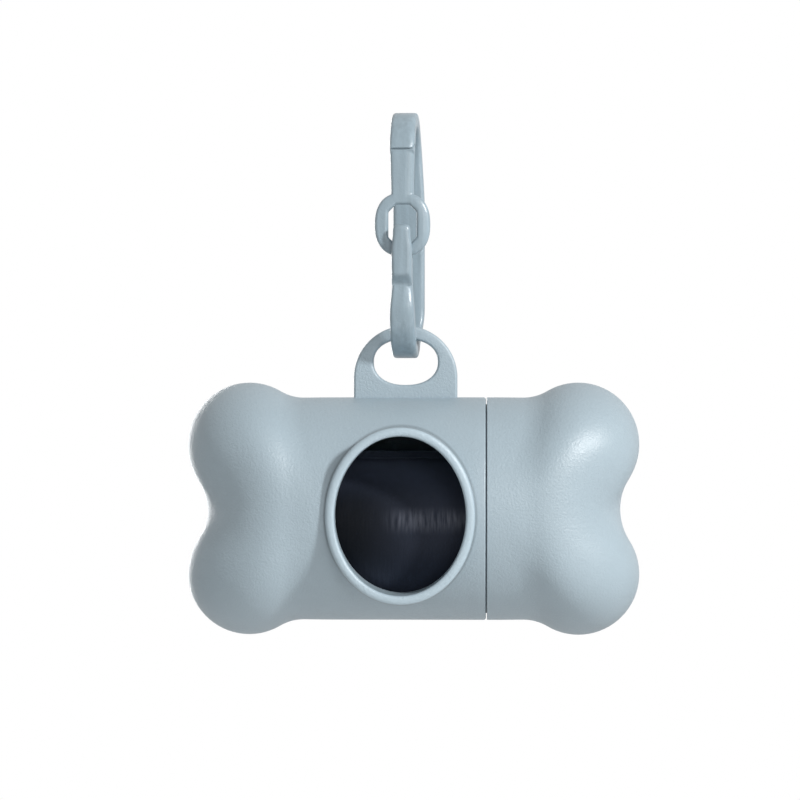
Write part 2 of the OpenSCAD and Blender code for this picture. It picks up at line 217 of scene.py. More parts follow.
def cut_with(obj, tool):
    """Cuts a body out of an object, and uses the body up."""
    change(obj, "BOOLEAN", operation="DIFFERENCE", solver="EXACT", object=tool)
    bpy.data.objects.remove(tool)


def smooth(obj, degrees=ROUND_ANGLE):
    """Shades round what is round, and keeps flats flat."""
    pick(obj)
    bpy.ops.object.shade_smooth_by_angle(angle=math.radians(degrees))
    change(obj, "WEIGHTED_NORMAL", keep_sharp=True, weight=FACE_WEIGHT)


def mix(a, b, share):
    """The value at a share of the way from a to b."""
    return a + (b - a) * share


def part_way(value, low, high):
    """0 up to low, 1 from high on, and an even slope between them."""
    return min(1.0, max(0.0, (value - low) / (high - low)))


def ease(value, low, high):
    """0 up to low, 1 from high on, and a soft slope between them."""
    share = part_way(value, low, high)
    return share * share * (3 - 2 * share)


def steps(start, end, count):
    """count values from start, with end left out."""
    return [start + (end - start) * i / count for i in range(count)]


def circle(count, first=0.0):
    """Angles round a circle."""
    return steps(first, first + TURN, count)


def oval(width, height, angle, power=2.0):
    """A point of an oval. A power above 2 sets its corners squarer."""
    c, s = math.cos(angle), math.sin(angle)
    return (
        width / 2 * math.copysign(abs(c) ** (2 / power), c),
        height / 2 * math.copysign(abs(s) ** (2 / power), s),
    )


# Steps round a corner of a section
CORNER_STEPS = 4


def rounded_section(low, high, half, radius, soft=None):
    """Corners of a rounded rectangle, from low to high one way and -half to half the other.
    soft is a longer, (deep, wide) rounding for the corner at high and half."""
    points = []
    for x, y, sx, sy, start in (
        (high, half, -1, -1, 0),
        (low, half, 1, -1, 90),
        (low, -half, 1, 1, 180),
        (high, -half, -1, 1, 270),
    ):
        deep, wide = soft if soft and start == 0 else (radius, radius)
        for i in range(CORNER_STEPS + 1):
            a = math.radians(start + 90 * i / CORNER_STEPS)
            points.append((x + sx * deep + deep * math.cos(a), y + sy * wide + wide * math.sin(a)))
    return points


def loft(name, sections, closed=False):
    """A skin over sections, each a ring of points. Open ends are drawn together in their middle."""
    rings = list(sections)
    if closed:
        rings.append(rings[0])
    else:
        for end in (0, -1):
            centre = sum((Vector(p) for p in rings[end]), Vector()) / len(rings[end])
            cap = [centre] * len(rings[end])
            rings = [cap] + rings if end == 0 else rings + [cap]
    count = len(rings[0])
    return sheet(name, len(rings) - 1, count, lambda r, c: rings[r][c % count])


# ---- the case ----

# Rings along the neck, the knuckle's round and the dip of a bone end, and corners in each ring
NECK_STEPS, LOBE_STEPS, DIP_STEPS = 8, 30, 12
AROUND = 192
# Shares of the way to the tip that the neck and the knuckle's round take
NECK_SHARE, LOBE_SHARE = 4 / 21, 12 / 21


def knuckle_profile():
    """A knuckle's outline from the barrel to the tip, as (distance along the axis, radius)."""
    centre_u = BONE_HALF - LOBE_R
    neck_v = BARREL_R - SINK + NECK_R
    neck_u = centre_u - math.sqrt((LOBE_R + NECK_R) ** 2 - (neck_v - LOBE_RISE) ** 2)
    neck_a = math.atan2(LOBE_RISE - neck_v, centre_u - neck_u)
    reach = DIP_REACH - centre_u
    tip_r = (reach**2 + LOBE_RISE**2 - LOBE_R**2) / (2 * (LOBE_R - reach))
    tip_u = DIP_REACH + tip_r
    tip_a = math.atan(LOBE_RISE / (tip_u - centre_u))
    points = [
        (neck_u + NECK_R * math.cos(a), neck_v + NECK_R * math.sin(a))
        for a in steps(-TURN / 4, neck_a, NECK_STEPS)
    ]
    points += [
        (centre_u + LOBE_R * math.cos(a), LOBE_RISE + LOBE_R * math.sin(a))
        for a in steps(TURN / 2 + neck_a, -tip_a, LOBE_STEPS)
    ]
    points += [
        (tip_u - tip_r * math.cos(a), tip_r * math.sin(a))
        for a in steps(tip_a, 0, DIP_STEPS)
    ]
    return points + [(DIP_REACH, 0)]


def falling(reach, half, angle):
    """A point of the valley's fall, which runs to reach from half the width that it starts with."""
    power = 2 / VALLEY_POWER
    along = (reach - VALLEY_START) * math.sin(angle) ** power
    return VALLEY_START + along, half * math.cos(angle) ** power


def valley_point(share):
    """A point of the valley between the knuckles: a slight dip, then its fall to the tip."""
    if share < NECK_SHARE:
        t = share / NECK_SHARE
        dip = (VALLEY_DIP - SINK) * (1 - math.cos(math.pi * t)) / 2
        return VALLEY_START - VALLEY_L * (1 - t), BARREL_R - SINK - dip
    return falling(DIP_REACH, BARREL_R - VALLEY_DIP, TURN / 4 * (share - NECK_SHARE) / (1 - NECK_SHARE))


# Shares of the way from the barrel to the tip, one for each ring of a bone end
SHARES = (
    steps(0, NECK_SHARE, NECK_STEPS)
    + steps(NECK_SHARE, NECK_SHARE + LOBE_SHARE, LOBE_STEPS)
    + steps(NECK_SHARE + LOBE_SHARE, 1, DIP_STEPS)
    + [1]
)
LOBE = knuckle_profile()
VALLEY = [valley_point(share) for share in SHARES]
END_START = min(LOBE[0][0], VALLEY[0][0])


def end_point(i, angle):
    """A point of a bone end: the valley's outline turns into the knuckle's round the axis."""
    fall = 1 + (VALLEY_FALL - 1) * (1 - SHARES[i])
    share = 1 - (math.cos(angle) ** 2) ** fall
    along = LOBE[i][0] * share + VALLEY[i][0] * (1 - share)
    fullness = math.sin(TURN / 4 * min(1, SHARES[i] / FULL_BY)) * math.sin(2 * angle)
    full = 1 + KNUCKLE_FULL * fullness**2
    return along, VALLEY[i][1] * math.cos(angle) * full, LOBE[i][1] * math.sin(angle)


def end_rows():
    """Rows of a bone end, from the tip to the barrel."""
    return [[end_point(i, a) for a in circle(AROUND)] for i in reversed(range(len(LOBE)))]


def turned_rows(profile):
    """Rows of a turned form, from (distance along the axis, radius) points."""
    return [
        [(u, r * math.cos(a), r * math.sin(a)) for a in circle(AROUND)]
        for u, r in profile
    ]


def case_body(name, rows, side):
    """A closed body about the bone's axis. side is +1 for the cap's end and -1 for the other."""

    def point(row, column):
        u, y, z = rows[row][column % AROUND]
        return BONE_X + side * u, y, AXIS_Z + z

    return sheet(name, len(rows) - 1, AROUND, point)


# Rings along the part of the bag space that draws in, and over its end wall
SPACE_STEPS, SPACE_END_STEPS = 12, 36


def space_ring(u, half, grow=1.0):
    """A ring of the bag space: a round with its front and back flattened to half."""
    return [
        (u, grow * max(-half, min(half, BORE_R * math.cos(a))), grow * BORE_R * math.sin(a))
        for a in circle(AROUND)
    ]


def space_end():
    """Rows of the bag space's end: it draws in at front and back, and is dished behind each knuckle."""
    last = math.asin(((BORE_END - VALLEY_START) / (SPACE_END - VALLEY_START)) ** (VALLEY_POWER / 2))
    rows = [space_ring(*falling(SPACE_END, SPACE_HALF, a)) for a in steps(0, last, SPACE_STEPS)]
    half = falling(SPACE_END, SPACE_HALF, last)[1]
    for grow in steps(1, 0, SPACE_END_STEPS) + [0]:
        row = []
        for u, y, z in space_ring(BORE_END, half, grow):
            reach = math.hypot(y, abs(z) - POCKET_RISE)
            row.append((u + POCKET_DEPTH * (1 - ease(reach, POCKET_R - POCKET_SLOPE, POCKET_R)), y, z))
        rows.append(row)
    return rows


# The barrel's rings stand about this far apart, and keep this far from the bone ends' first rings
RING_PITCH, RING_MARGIN = 2.0, 1.0
# How far a cutting body reaches past what it cuts
CUT_PAST = 1
# The rim's outer rounding, the depth that its body runs back to, and the flare of its opening
RIM_ROUND, RIM_BACK, OPENING_FLARE = 0.9, -1, 0.6
# The opening's first corner lies at this angle, in radians, off the rim's own corners
OPENING_FIRST = 0.017
# Corners round the window's ovals, and rings along its flare
OVAL_STEPS, FLARE_STEPS = 128, 6
# Rounding of the ear's edges, and sections round its hole
EAR_EDGE, EAR_STEPS = 0.55, 144
# The seam's bevel is rounded: its middle corner lies this share of it in from both faces
BEVEL_MIDDLE = 0.3
# Bevels of the spigot and its slot, and of the socket's mouth and its key
SPIGOT_BEVEL, SLOT_BEVEL = 0.3, 0.15
MOUTH_BEVEL, KEY_BEVEL = 0.2, 0.2
# How far the key reaches into the socket's wall
KEY_ROOT = 0.5


def barrel_profile(start, end):
    """The barrel's straight side, as (distance along the axis, radius)."""
    count = max(1, round(abs(end - start) / RING_PITCH))
    return [(u, BARREL_R) for u in steps(start, end, count)]


def oval_plug(name, y_front, y_back, grow, flare, first=0.0):
    """An oval plug through the window, its corners counted from the angle first.
    A positive flare rounds its front edge off, a negative one spreads it."""
    width, height = WINDOW_W + 2 * grow, WINDOW_H + 2 * grow
    places = [(y_front - CUT_PAST, -flare)] if flare < 0 else []
    for i in range(FLARE_STEPS + 1):
        a = TURN / 4 * i / FLARE_STEPS
        places.append((y_front + abs(flare) * (1 - math.cos(a)), -flare * (1 - math.sin(a))))
    places.append((y_back, 0))
    rows = []
    for y, offset in places:
        ring = [oval(width + 2 * offset, height + 2 * offset, a) for a in circle(OVAL_STEPS, first)]
        rows.append([(x - WINDOW_LEFT, y, WINDOW_Z + z) for x, z in ring])
    return loft(name, rows)


def ear_edge(angle):
    """How far the ear's outline lies from the middle of its hole, in that direction."""
    c, s = math.cos(angle), math.sin(angle)
    half = EAR_W / 2
    round_z = EAR_HOLE_H / 2 + EAR_BAR - half
    along = round_z * s
    reach = along + math.sqrt(along**2 - round_z**2 + half**2)
    if reach * s >= round_z:
        return reach
    side = half / max(abs(c), TINY)
    foot = (EAR_HOLE_H / 2 + EAR_FOOT + EAR_SINK) / max(-s, TINY)
    return min(side, foot)


def ear_ring():
    """The hanging ear, swept round its hole with rounded edges."""
    sections = []
    for a in circle(EAR_STEPS):
        hx, hz = oval(EAR_HOLE_W, EAR_HOLE_H, a, EAR_HOLE_POWER)
        hole = Vector((hx, 0, hz))
        section = rounded_section(hole.length, ear_edge(math.atan2(hz, hx)), EAR_T / 2, EAR_EDGE)
        sections.append([
            Vector((0, 0, EAR_HOLE_Z)) + hole.normalized() * r + Vector((0, y, 0)) for r, y in section
        ])
    return loft("ear", sections, closed=True)


def case_profile():
    """The case from its bone end to the middle of the spigot's end. Distances run towards the bone end."""
    lip = SEAM_OFFSET - SEAM_GAP / 2
    end = SEAM_OFFSET + SPIGOT_L
    inset = SEAM_BEVEL * BEVEL_MIDDLE
    barrel = barrel_profile(-END_START + RING_MARGIN, lip - SEAM_BEVEL)
    return [(-u, r) for u, r in barrel] + [
        (-(lip - SEAM_BEVEL), BARREL_R),
        (-(lip - inset), BARREL_R - inset),
        (-lip, BARREL_R - SEAM_BEVEL),
        (-lip, SPIGOT_R),
        (-(end - SPIGOT_BEVEL), SPIGOT_R),
        (-end, SPIGOT_R - SPIGOT_BEVEL),
        (-end, 0),
    ]


def key_slot():
    """The slot in the spigot that takes the cap's key."""
    half = KEY_W / 2 + KEY_GAP
    x = BONE_X + SEAM_OFFSET
    low = (x, -half, AXIS_Z - SPIGOT_R - CUT_PAST)
    high = (x + SPIGOT_L + CUT_PAST, half, AXIS_Z - BORE_R + CUT_PAST)
    return fitted_block("key_slot", low, high, SLOT_BEVEL)


def make_case():
    """The left bone end and barrel with the rim, the ear and the spigot, and the bag space inside."""
    case = case_body("case", end_rows() + turned_rows(case_profile()), -1)
    join_with(case, oval_plug("collar", -RIM_FRONT, RIM_BACK, RIM_W, RIM_ROUND))
    join_with(case, ear_ring())
    cut_with(case, oval_plug("opening", -RIM_FRONT, 0, 0, -OPENING_FLARE, OPENING_FIRST))
    cut_with(case, key_slot())
    mouth = -(SEAM_OFFSET + SPIGOT_L) - CUT_PAST
    cut_with(case, case_body("bag_space", turned_rows([(mouth, 0), (mouth, BORE_R)]) + space_end(), -1))
    weld(case, SLIVER)
    smooth(case)
    return case


def cap_profile():
    """The cap from its bone end to the bag space inside it."""
    lip = SEAM_OFFSET + SEAM_GAP / 2
    socket = SPIGOT_R + SPIGOT_GAP
    step = SEAM_OFFSET + SPIGOT_L + SPIGOT_GAP
    return barrel_profile(END_START - RING_MARGIN, lip + LIP_BEVEL) + [
        (lip + LIP_BEVEL, BARREL_R),
        (lip, BARREL_R - LIP_BEVEL),
        (lip, socket + MOUTH_BEVEL),
        (lip + MOUTH_BEVEL, socket),
        (step, socket),
        (step, BORE_R),
    ]


def key():
    """The key along the socket's floor."""
    x = BONE_X + SEAM_OFFSET + SEAM_GAP + KEY_LEAD
    low = (x, -KEY_W / 2, AXIS_Z - SPIGOT_R - SPIGOT_GAP - KEY_ROOT)
    high = (x + SPIGOT_L - KEY_LEAD, KEY_W / 2, AXIS_Z - BORE_R)
    return fitted_block("key", low, high, KEY_BEVEL)


def make_cap():
    """The right bone end, with its socket, its key and its half of the bag space."""
    cap = case_body("cap", end_rows() + turned_rows(cap_profile()) + space_end(), 1)
    join_with(cap, key())
    smooth(cap)
    return cap


# ---- the clip ----

# Rounding of the clip's edges, and the broader one on the front's cap side, as (deep, wide)
CLIP_EDGE = 0.55
SOFT_EDGE = (0.9, 1.5)
# Rounding of the eyelet's edges, and the broader one on its front at the cap's side, as (wide, deep)
EYELET_EDGE = 0.55
EYELET_SOFT = (1.9, 0.8)
# Rounding of the nose's edges
NOSE_EDGE = 0.8
# The peg's rounded end, as (distance before its tip, share of its radius)
PEG_ROUND = ((0.2, 1), (0.05, 0.95), (0, 0.85))
# The gate's round bar in the block's groove: half its length, its radius and its bevel
BAR_HALF, BAR_R, BAR_BEVEL = 2.3, 0.9, 0.1
# How far the strap reaches into the eyelet
STRAP_OVERLAP = 1.5
# Sections along the loop's top, spine, bottom and arm, along the strap and round the eyelet
TOP_STEPS, SPINE_STEPS, BOTTOM_STEPS, ARM_STEPS = 40, 30, 44, 18
STRAP_STEPS, EYELET_STEPS = 24, 96
# Corners round the bars, over the nose's tip and down its sides, and rings over its rounded edge
BAR_STEPS, TIP_STEPS, NOSE_STEPS, PLATE_STEPS = 32, 24, 16, 5
# The moulded skins: their cells and rounds of smoothing, and the angle up to which they shade round
LOOP_CELL, LOOP_ROUNDS = 0.16, 6
GATE_CELL, GATE_ROUNDS = 0.12, 5
MOULDED_ANGLE = 60
# The nose's foot is set back from this far below its end
FOOT_MARGIN = 0.6


def in_clip_frame(obj):
    """Turns a clip piece to the angle at which it hangs."""
    obj.data.transform(Matrix.Rotation(-CLIP_YAW, 4, "Z"))


def loop_half_width(y, z):
    """Half the width of the clip's loop at a place on its side view."""
    if y > 0:
        full = ease(z, LOOP_INNER_R, -LOOP_DROP / 3) * ease(z, -LOOP_DROP - LOOP_INNER_R, -LOOP_DROP)
        return mix(CLIP_W, SPINE_W, full) / 2
    narrow = ease(z, BLOCK_Z, ARM_TOP_Z) * ease(z, ARM_WIDE_Z, NOSE_FOOT_Z)
    return mix(CLIP_W, WAIST_W, narrow) / 2


def loop_section(inner, outer):
    """A rounded section across the loop, between an inner and an outer point of its side view."""
    inner, outer = Vector(inner), Vector(outer)
    thick = (outer - inner).length
    across = (outer - inner) / thick
    half = loop_half_width(*((inner + outer) / 2))
    points = []
    soft = SOFT_EDGE if inner.x < 0 else None
    for d, x in rounded_section(0, thick, half, CLIP_EDGE, soft):
        y, z = inner + across * d
        points.append((x, y, z))
    return points


def on_arc(radius, centre_z, angle):
    """A point of the loop's side view, on an arc about its middle line."""
    return radius * math.cos(angle), centre_z + radius * math.sin(angle)


def loop_line():
    """Pairs of inner and outer points down the loop, from the block over the top to the arm."""
    pairs = []
    inner_start = math.pi - math.asin(BLOCK_Z / LOOP_INNER_R)
    outer_start = math.pi - math.asin(BLOCK_Z / LOOP_R)
    for share in steps(0, 1, TOP_STEPS):
        inner_a, outer_a = mix(inner_start, 0, share), mix(outer_start, 0, share)
        pairs.append((on_arc(LOOP_INNER_R, 0, inner_a), on_arc(LOOP_R, 0, outer_a)))
    for z in steps(0, -LOOP_DROP, SPINE_STEPS):
        pairs.append(((LOOP_INNER_R, z), (LOOP_R, z)))
    for a in steps(0, -math.pi, BOTTOM_STEPS):
        pairs.append((on_arc(LOOP_INNER_R, -LOOP_DROP, a), on_arc(LOOP_R, -LOOP_DROP, a)))
    for z in steps(-LOOP_DROP, ARM_TOP_Z, ARM_STEPS) + [ARM_TOP_Z]:
        hollow = FOOT_HOLLOW * ease(z, NOSE_END_Z - HOLLOW_L, NOSE_END_Z)
        pairs.append(((-LOOP_INNER_R, z), (-LOOP_R + hollow, z)))
    return pairs


def nose_half_width(z):
    """Half the nose's width below its tip."""
    if z > NOSE_WIDEST_Z:
        return mix(NOSE_TIP_R, NOSE_W / 2, ease(z, NOSE_TIP_Z - NOSE_TIP_R, NOSE_WIDEST_Z))
    arm = loop_half_width(NOSE_BACK, z)
    return mix(NOSE_W / 2, arm, ease(z, NOSE_WIDEST_Z, NOSE_FOOT_Z))


def nose_outline(offset):
    """The nose seen from the front, moved outwards by offset."""
    tip_z = NOSE_TIP_Z - NOSE_TIP_R
    tip_w = 2 * (NOSE_TIP_R + offset)
    tip = [oval(tip_w, tip_w, a, NOSE_TIP_POWER) for a in steps(0, math.pi, TIP_STEPS)]
    side = steps(tip_z, NOSE_END_Z - offset, NOSE_STEPS) + [NOSE_END_Z - offset]
    points = [(x, tip_z + z) for x, z in tip]
    points += [(-nose_half_width(z) - offset, z) for z in side]
    points += [(nose_half_width(z) + offset, z) for z in reversed(side)]
    return points


def plate_rings(outline, y_front, y_back, radius):
    """Rings of a plate with rounded edges, from its front to its back. outline(offset) gives its points."""
    turns = [TURN / 4 * i / PLATE_STEPS for i in range(PLATE_STEPS + 1)]
    drops = [(radius * (1 - math.sin(a)), radius * (1 - math.cos(a))) for a in turns]
    front = [(y_front + drop, inset) for drop, inset in reversed(drops)]
    back = [(y_back - drop, inset) for drop, inset in drops]
    return [[(x, y, z) for x, z in outline(-inset)] for y, inset in front + back]


def peg():
    """The peg behind the nose, which the eyelet hangs over."""
    z = NOSE_TIP_Z - NOSE_TIP_R
    places = [(NOSE_FRONT + NOSE_EDGE, PEG_R)]
    places += [(GATE_Y - back, PEG_R * share) for back, share in PEG_ROUND]
    return loft("peg", [
        [(r * math.cos(a), y, z + r * math.sin(a)) for a in circle(BAR_STEPS)]
        for y, r in places
    ])


def hinge_bar(name, ends):
    """A round bar on the gate's hinge line, from (place along it, radius) pairs."""
    return loft(name, [
        [(x, GATE_Y + r * math.cos(a), HINGE_Z + r * math.sin(a)) for a in circle(BAR_STEPS)]
        for x, r in ends
    ])


def set_foot_back(obj):
    """Slopes the nose's front back into the arm at its lower end."""
    for vertex in obj.data.vertices:
        y, z = vertex.co.y / MM, vertex.co.z / MM
        if y < FOOT_Y and NOSE_END_Z - FOOT_MARGIN < z < NOSE_END_Z + FOOT_L:
            vertex.co.y = mix(FOOT_Y, y, ease(z, NOSE_END_Z, NOSE_END_Z + FOOT_L)) * MM


def make_clip_frame():
    """The clip's loop with its block, spine, bottom, arm and nose, cast as one skin with moulded edges."""
    loop = loft("clip_loop", [loop_section(*pair) for pair in loop_line()])
    join_with(loop, loft("nose", plate_rings(nose_outline, NOSE_FRONT, NOSE_BACK, NOSE_EDGE)))
    join_with(loop, peg())
    cut_with(loop, hinge_bar("groove", [(-CLIP_W, HINGE_R), (CLIP_W, HINGE_R)]))
    change(loop, "REMESH", mode="VOXEL", voxel_size=LOOP_CELL * MM)
    set_foot_back(loop)
    change(loop, "SMOOTH", factor=0.5, iterations=LOOP_ROUNDS)
    smooth(loop, MOULDED_ANGLE)
    in_clip_frame(loop)
    return loop


def strap():
    """The gate's strap, a little narrower towards the eyelet."""
    sections = []
    for z in steps(HINGE_Z, STRAP_END_Z - STRAP_OVERLAP, STRAP_STEPS):
        half = mix(STRAP_END_W, STRAP_W, part_way(z, STRAP_END_Z, HINGE_Z)) / 2
        section = rounded_section(-GATE_T / 2, GATE_T / 2, half, CLIP_EDGE, SOFT_EDGE)
        sections.append([(x, GATE_Y - y, z) for y, x in section])
    return loft("gate_strap", sections)


def hole_reach(along):
    """How far the eyelet's hole reaches from its middle: a rectangle with its corners cut off."""
    x, z = abs(along.x), abs(along.z)
    half_w, half_h = EYELET_HOLE_W / 2, EYELET_HOLE_H / 2
    corner = (half_w + half_h - EYELET_CORNER) / (x + z)
    return min(half_w / max(x, TINY), half_h / max(z, TINY), corner)


def eyelet():
    """The ring at the strap's end, softest at the front of its cap side."""
    sections = []
    for a in circle(EYELET_STEPS):
        x, z = oval(EYELET_W, EYELET_H, a, EYELET_POWER)
        outer = Vector((x, 0, z))
        along = outer.normalized()
        soft = [mix(EYELET_EDGE, broad, max(0.0, along.x)) for broad in EYELET_SOFT]
        section = rounded_section(hole_reach(along), outer.length, GATE_T / 2, EYELET_EDGE, soft)
        sections.append([along * reach + Vector((0, GATE_Y - y, EYELET_Z)) for reach, y in section])
    return loft("eyelet", sections, closed=True)


def make_clip_gate():
    """The strap with its eyelet and its round hinge bar, cast as one skin with moulded edges."""
    gate = strap()
    join_with(gate, eyelet())
    flat = BAR_HALF - BAR_BEVEL
    face_r = BAR_R - BAR_BEVEL
    ends = [(-BAR_HALF, face_r), (-flat, BAR_R), (flat, BAR_R), (BAR_HALF, face_r)]
    join_with(gate, hinge_bar("hinge_bar", ends))
    change(gate, "REMESH", mode="VOXEL", voxel_size=GATE_CELL * MM)
    change(gate, "SMOOTH", factor=0.5, iterations=GATE_ROUNDS)
    smooth(gate, MOULDED_ANGLE)
    in_clip_frame(gate)
    return gate


# ---- the bags ----

# Creases of wound film: how fast they change along the roll and round it, and the fine ones' share
COARSE_CREASE, FINE_CREASE = (0.10, 3), (0.5, 7)
FINE_SHARE = 0.4
# Depth of the creases in the roll and in the outermost bag, with a start of their own for each
ROLL_RIPPLE, ROLL_SEED = 0.12, 4.0
FILM_RIPPLE, FILM_SEED = 0.1, 9.0
# The outermost bag: how much thinner it is than the solid, the gap between its edges, and the angle of its
# first edge, counted from the back over the top
FILM_THINNER = 0.13
FILM_GAP = 1.5
FILM_START = math.radians(120)
# Clearance between neighbouring windings
FIT = 0.05
CORE_BEVEL = 0.12
# Rings along each tube, and corners round the roll, the outermost bag and the core
TUBE_RINGS = 72
ROLL_STEPS, FILM_STEPS, CORE_STEPS = 192, 240, 96
# The angle up to which the tubes shade round
ROLL_ANGLE = 40


def crease(x, angle, seed, pitch):
    """Noise that runs along the roll and closes on itself round it."""
    along, around = pitch
    return noise.noise(Vector((x * along, math.cos(angle) * around + seed, math.sin(angle) * around)))


def film_ripple(x, angle, seed, size):
    """Depth of the shallow creases that run along wound film."""
    coarse, fine = crease(x, angle, seed, COARSE_CREASE), crease(x, angle, seed, FINE_CREASE)
    return abs(size * (coarse + FINE_SHARE * fine))


def tube(name, outer, inner, half, around, ripple=0.0, seed=0.0, span=(0.0, TURN), bevel=0.0):
    """A wound tube about the roll's axis, or the part of one that span gives."""
    profile = [(-half, inner), (-half, outer - bevel)]
    profile += [(mix(-half, half, (i + 0.5) / TUBE_RINGS), outer) for i in range(TUBE_RINGS)]
    profile += [(half, outer - bevel), (half, inner)]
    rows = []
    for x, r in profile:
        size = ripple if r == outer else 0.0
        row = []
        for i in range(around + 1):
            a = mix(*span, i / around)
            radius = r - film_ripple(x, a, seed, size)
            row.append((BONE_X + x, radius * math.cos(a), ROLL_Z + radius * math.sin(a)))
        rows.append(row)
    rows.append(rows[0])
    part = span[1] - span[0] < TURN
    obj = sheet(name, len(rows) - 1, around, lambda r, c: rows[r][c if part else c % around])
    if part:
        close_edges(obj)
    smooth(obj, ROLL_ANGLE)
    return obj


def make_bag_roll():
    """The wound bags under the outermost one."""
    outer, inner = ROLL_R - FILM_T - FIT, CORE_R + FIT
    return tube("wound_bags", outer, inner, ROLL_L / 2, ROLL_STEPS, ROLL_RIPPLE, ROLL_SEED)


def make_leading_bag():
    """The outermost bag, which leaves a gap between its two edges."""
    inner, half = ROLL_R - FILM_T + FILM_THINNER, ROLL_L / 2 - FIT
    span = (FILM_START, FILM_START + TURN - FILM_GAP / ROLL_R)
    return tube("leading_bag_film", ROLL_R, inner, half, FILM_STEPS, FILM_RIPPLE, FILM_SEED, span)


def make_core():
    """The card tube that the bags are wound on."""
    inner, half = CORE_R - CORE_WALL, ROLL_L / 2 + CORE_PROUD
    return tube("card_core", CORE_R, inner, half, CORE_STEPS, bevel=CORE_BEVEL)


# ---- tools for finishes ----

# Noise of 0 to 1 lies mostly between these
NOISE_LOW, NOISE_HIGH = 0.3, 0.7


def finish_nodes(name):
    """A new material, its tree and its surface shader."""
    material = bpy.data.materials.new(name)
    material.use_nodes = True
    tree = material.node_tree
    return material, tree, tree.nodes["Principled BSDF"]


def link(tree, source, target):
    """Leads a node's output into an input."""
    tree.links.new(source, target)


def own_place(tree):
    """The piece's own coordinates, in metres."""
    return tree.nodes.new("ShaderNodeTexCoord").outputs["Object"]


def squeezed(tree, place, factors):
    """Coordinates multiplied by a factor along each axis."""
    node = tree.nodes.new("ShaderNodeMapping")
    node.inputs["Scale"].default_value = factors
    link(tree, place, node.inputs["Vector"])
    return node.outputs["Vector"]


def centred(tree, place, centre, unit=(1.0, 1.0, 1.0)):
    """Coordinates counted from a centre, in units of their own along each axis. Both are in metres."""
    node = tree.nodes.new("ShaderNodeMapping")
    node.vector_type = "TEXTURE"
    node.inputs["Location"].default_value = centre
    node.inputs["Scale"].default_value = unit
    link(tree, place, node.inputs["Vector"])
    return node.outputs["Vector"]


def speckle(tree, scale, detail=2.0, roughness=0.5, squeeze=None):
    """Noise on the piece's own coordinates, scale in cycles a metre. squeeze is a factor along each axis."""
    place = own_place(tree)
    if squeeze:
        place = squeezed(tree, place, squeeze)
    grain = tree.nodes.new("ShaderNodeTexNoise")
    grain.inputs["Scale"].default_value = scale
    grain.inputs["Detail"].default_value = detail
    grain.inputs["Roughness"].default_value = roughness
    link(tree, place, grain.inputs["Vector"])
    return grain.outputs["Fac"]


def ramp(tree, source, stops):
    """Spreads a value from 0 to 1 over two (place, colour) stops."""
    node = tree.nodes.new("ShaderNodeValToRGB")
    for element, (at, colour) in zip(node.color_ramp.elements, stops):
        element.position = at
        element.color = (*colour, 1)
    link(tree, source, node.inputs["Fac"])
    return node.outputs["Color"]


def blend(tree, share, first, colour):
    """What first gives where share is 0, and a plain colour where it is 1."""
    node = tree.nodes.new("ShaderNodeMix")
    node.data_type = "RGBA"
    link(tree, share, node.inputs["Factor"])
    link(tree, first, node.inputs["A"])
    node.inputs["B"].default_value = (*colour, 1)
    return node.outputs["Result"]


def shade_of(colour, factor):
    """A colour made paler or darker by a factor."""
    return tuple(min(1.0, c * factor) for c in colour)


def uneven(tree, source, colour, low, high):
    """A colour that varies with a noise, between two factors of its shade."""
    return ramp(tree, source, [(NOISE_LOW, shade_of(colour, low)), (NOISE_HIGH, shade_of(colour, high))])


def spread(tree, value, low, high):
    """0 at low, 1 at high and a soft slope between them."""
    node = tree.nodes.new("ShaderNodeMapRange")
    node.interpolation_type = "SMOOTHSTEP"
    node.inputs["From Min"].default_value = low
    node.inputs["From Max"].default_value = high
    link(tree, value, node.inputs["Value"])
    return node.outputs["Result"]


def object_axis(tree, axis, low, high):
    """0 at low and 1 at high along one of the piece's own axes, in millimetres."""
    split = tree.nodes.new("ShaderNodeSeparateXYZ")
    link(tree, own_place(tree), split.inputs["Vector"])
    return spread(tree, split.outputs[axis], low * MM, high * MM)


def calculated(tree, operation, first, second):
    """The outcome of an operation on two values. The second may be a plain number."""
    node = tree.nodes.new("ShaderNodeMath")
    node.operation = operation
    link(tree, first, node.inputs[0])
    if isinstance(second, (int, float)):
        node.inputs[1].default_value = second
    else:
        link(tree, second, node.inputs[1])
    return node.outputs["Value"]


def times(tree, first, second):
    """The product of two values. The second may be a plain number."""
    return calculated(tree, "MULTIPLY", first, second)


def length_of(tree, vector):
    """How long a vector is."""
    node = tree.nodes.new("ShaderNodeVectorMath")
    node.operation = "LENGTH"
    link(tree, vector, node.inputs[0])
    return node.outputs["Value"]


def relief(tree, height, distance, strength=1.0, over=None):
    """Surface relief from a height of 0 to 1, up to distance deep in millimetres, over another relief."""
    node = tree.nodes.new("ShaderNodeBump")
    node.inputs["Strength"].default_value = strength
    node.inputs["Distance"].default_value = distance * MM
    link(tree, height, node.inputs["Height"])
    if over:
        link(tree, over, node.inputs["Normal"])
    return node.outputs["Normal"]


# ---- the finishes ----

# Scales of patterns are in cycles a metre, and places are in millimetres.
# Moulded plastic: how much its gloss varies, the scale of that, and its shine
GLOSS_SPREAD, GLOSS_SCALE = 0.05, 300
SHINE = 0.75
# The case's faint flow shades and the clip's streaks: their scale, and how far the shade varies
FLOW_SCALE, FLOW_SHADE = 45, 0.03
STREAK_SCALE, STREAK_SHADE = 1100, 0.10
STREAK_SQUEEZE = (1.0, 1.0, 0.06)
# Painted light on the rim: how much paler it is, and the distances in front of the barrel between which that
# sets in
RIM_PAINTED_LIGHT, RIM_DEPTHS = 1.18, (0.15, 0.9)
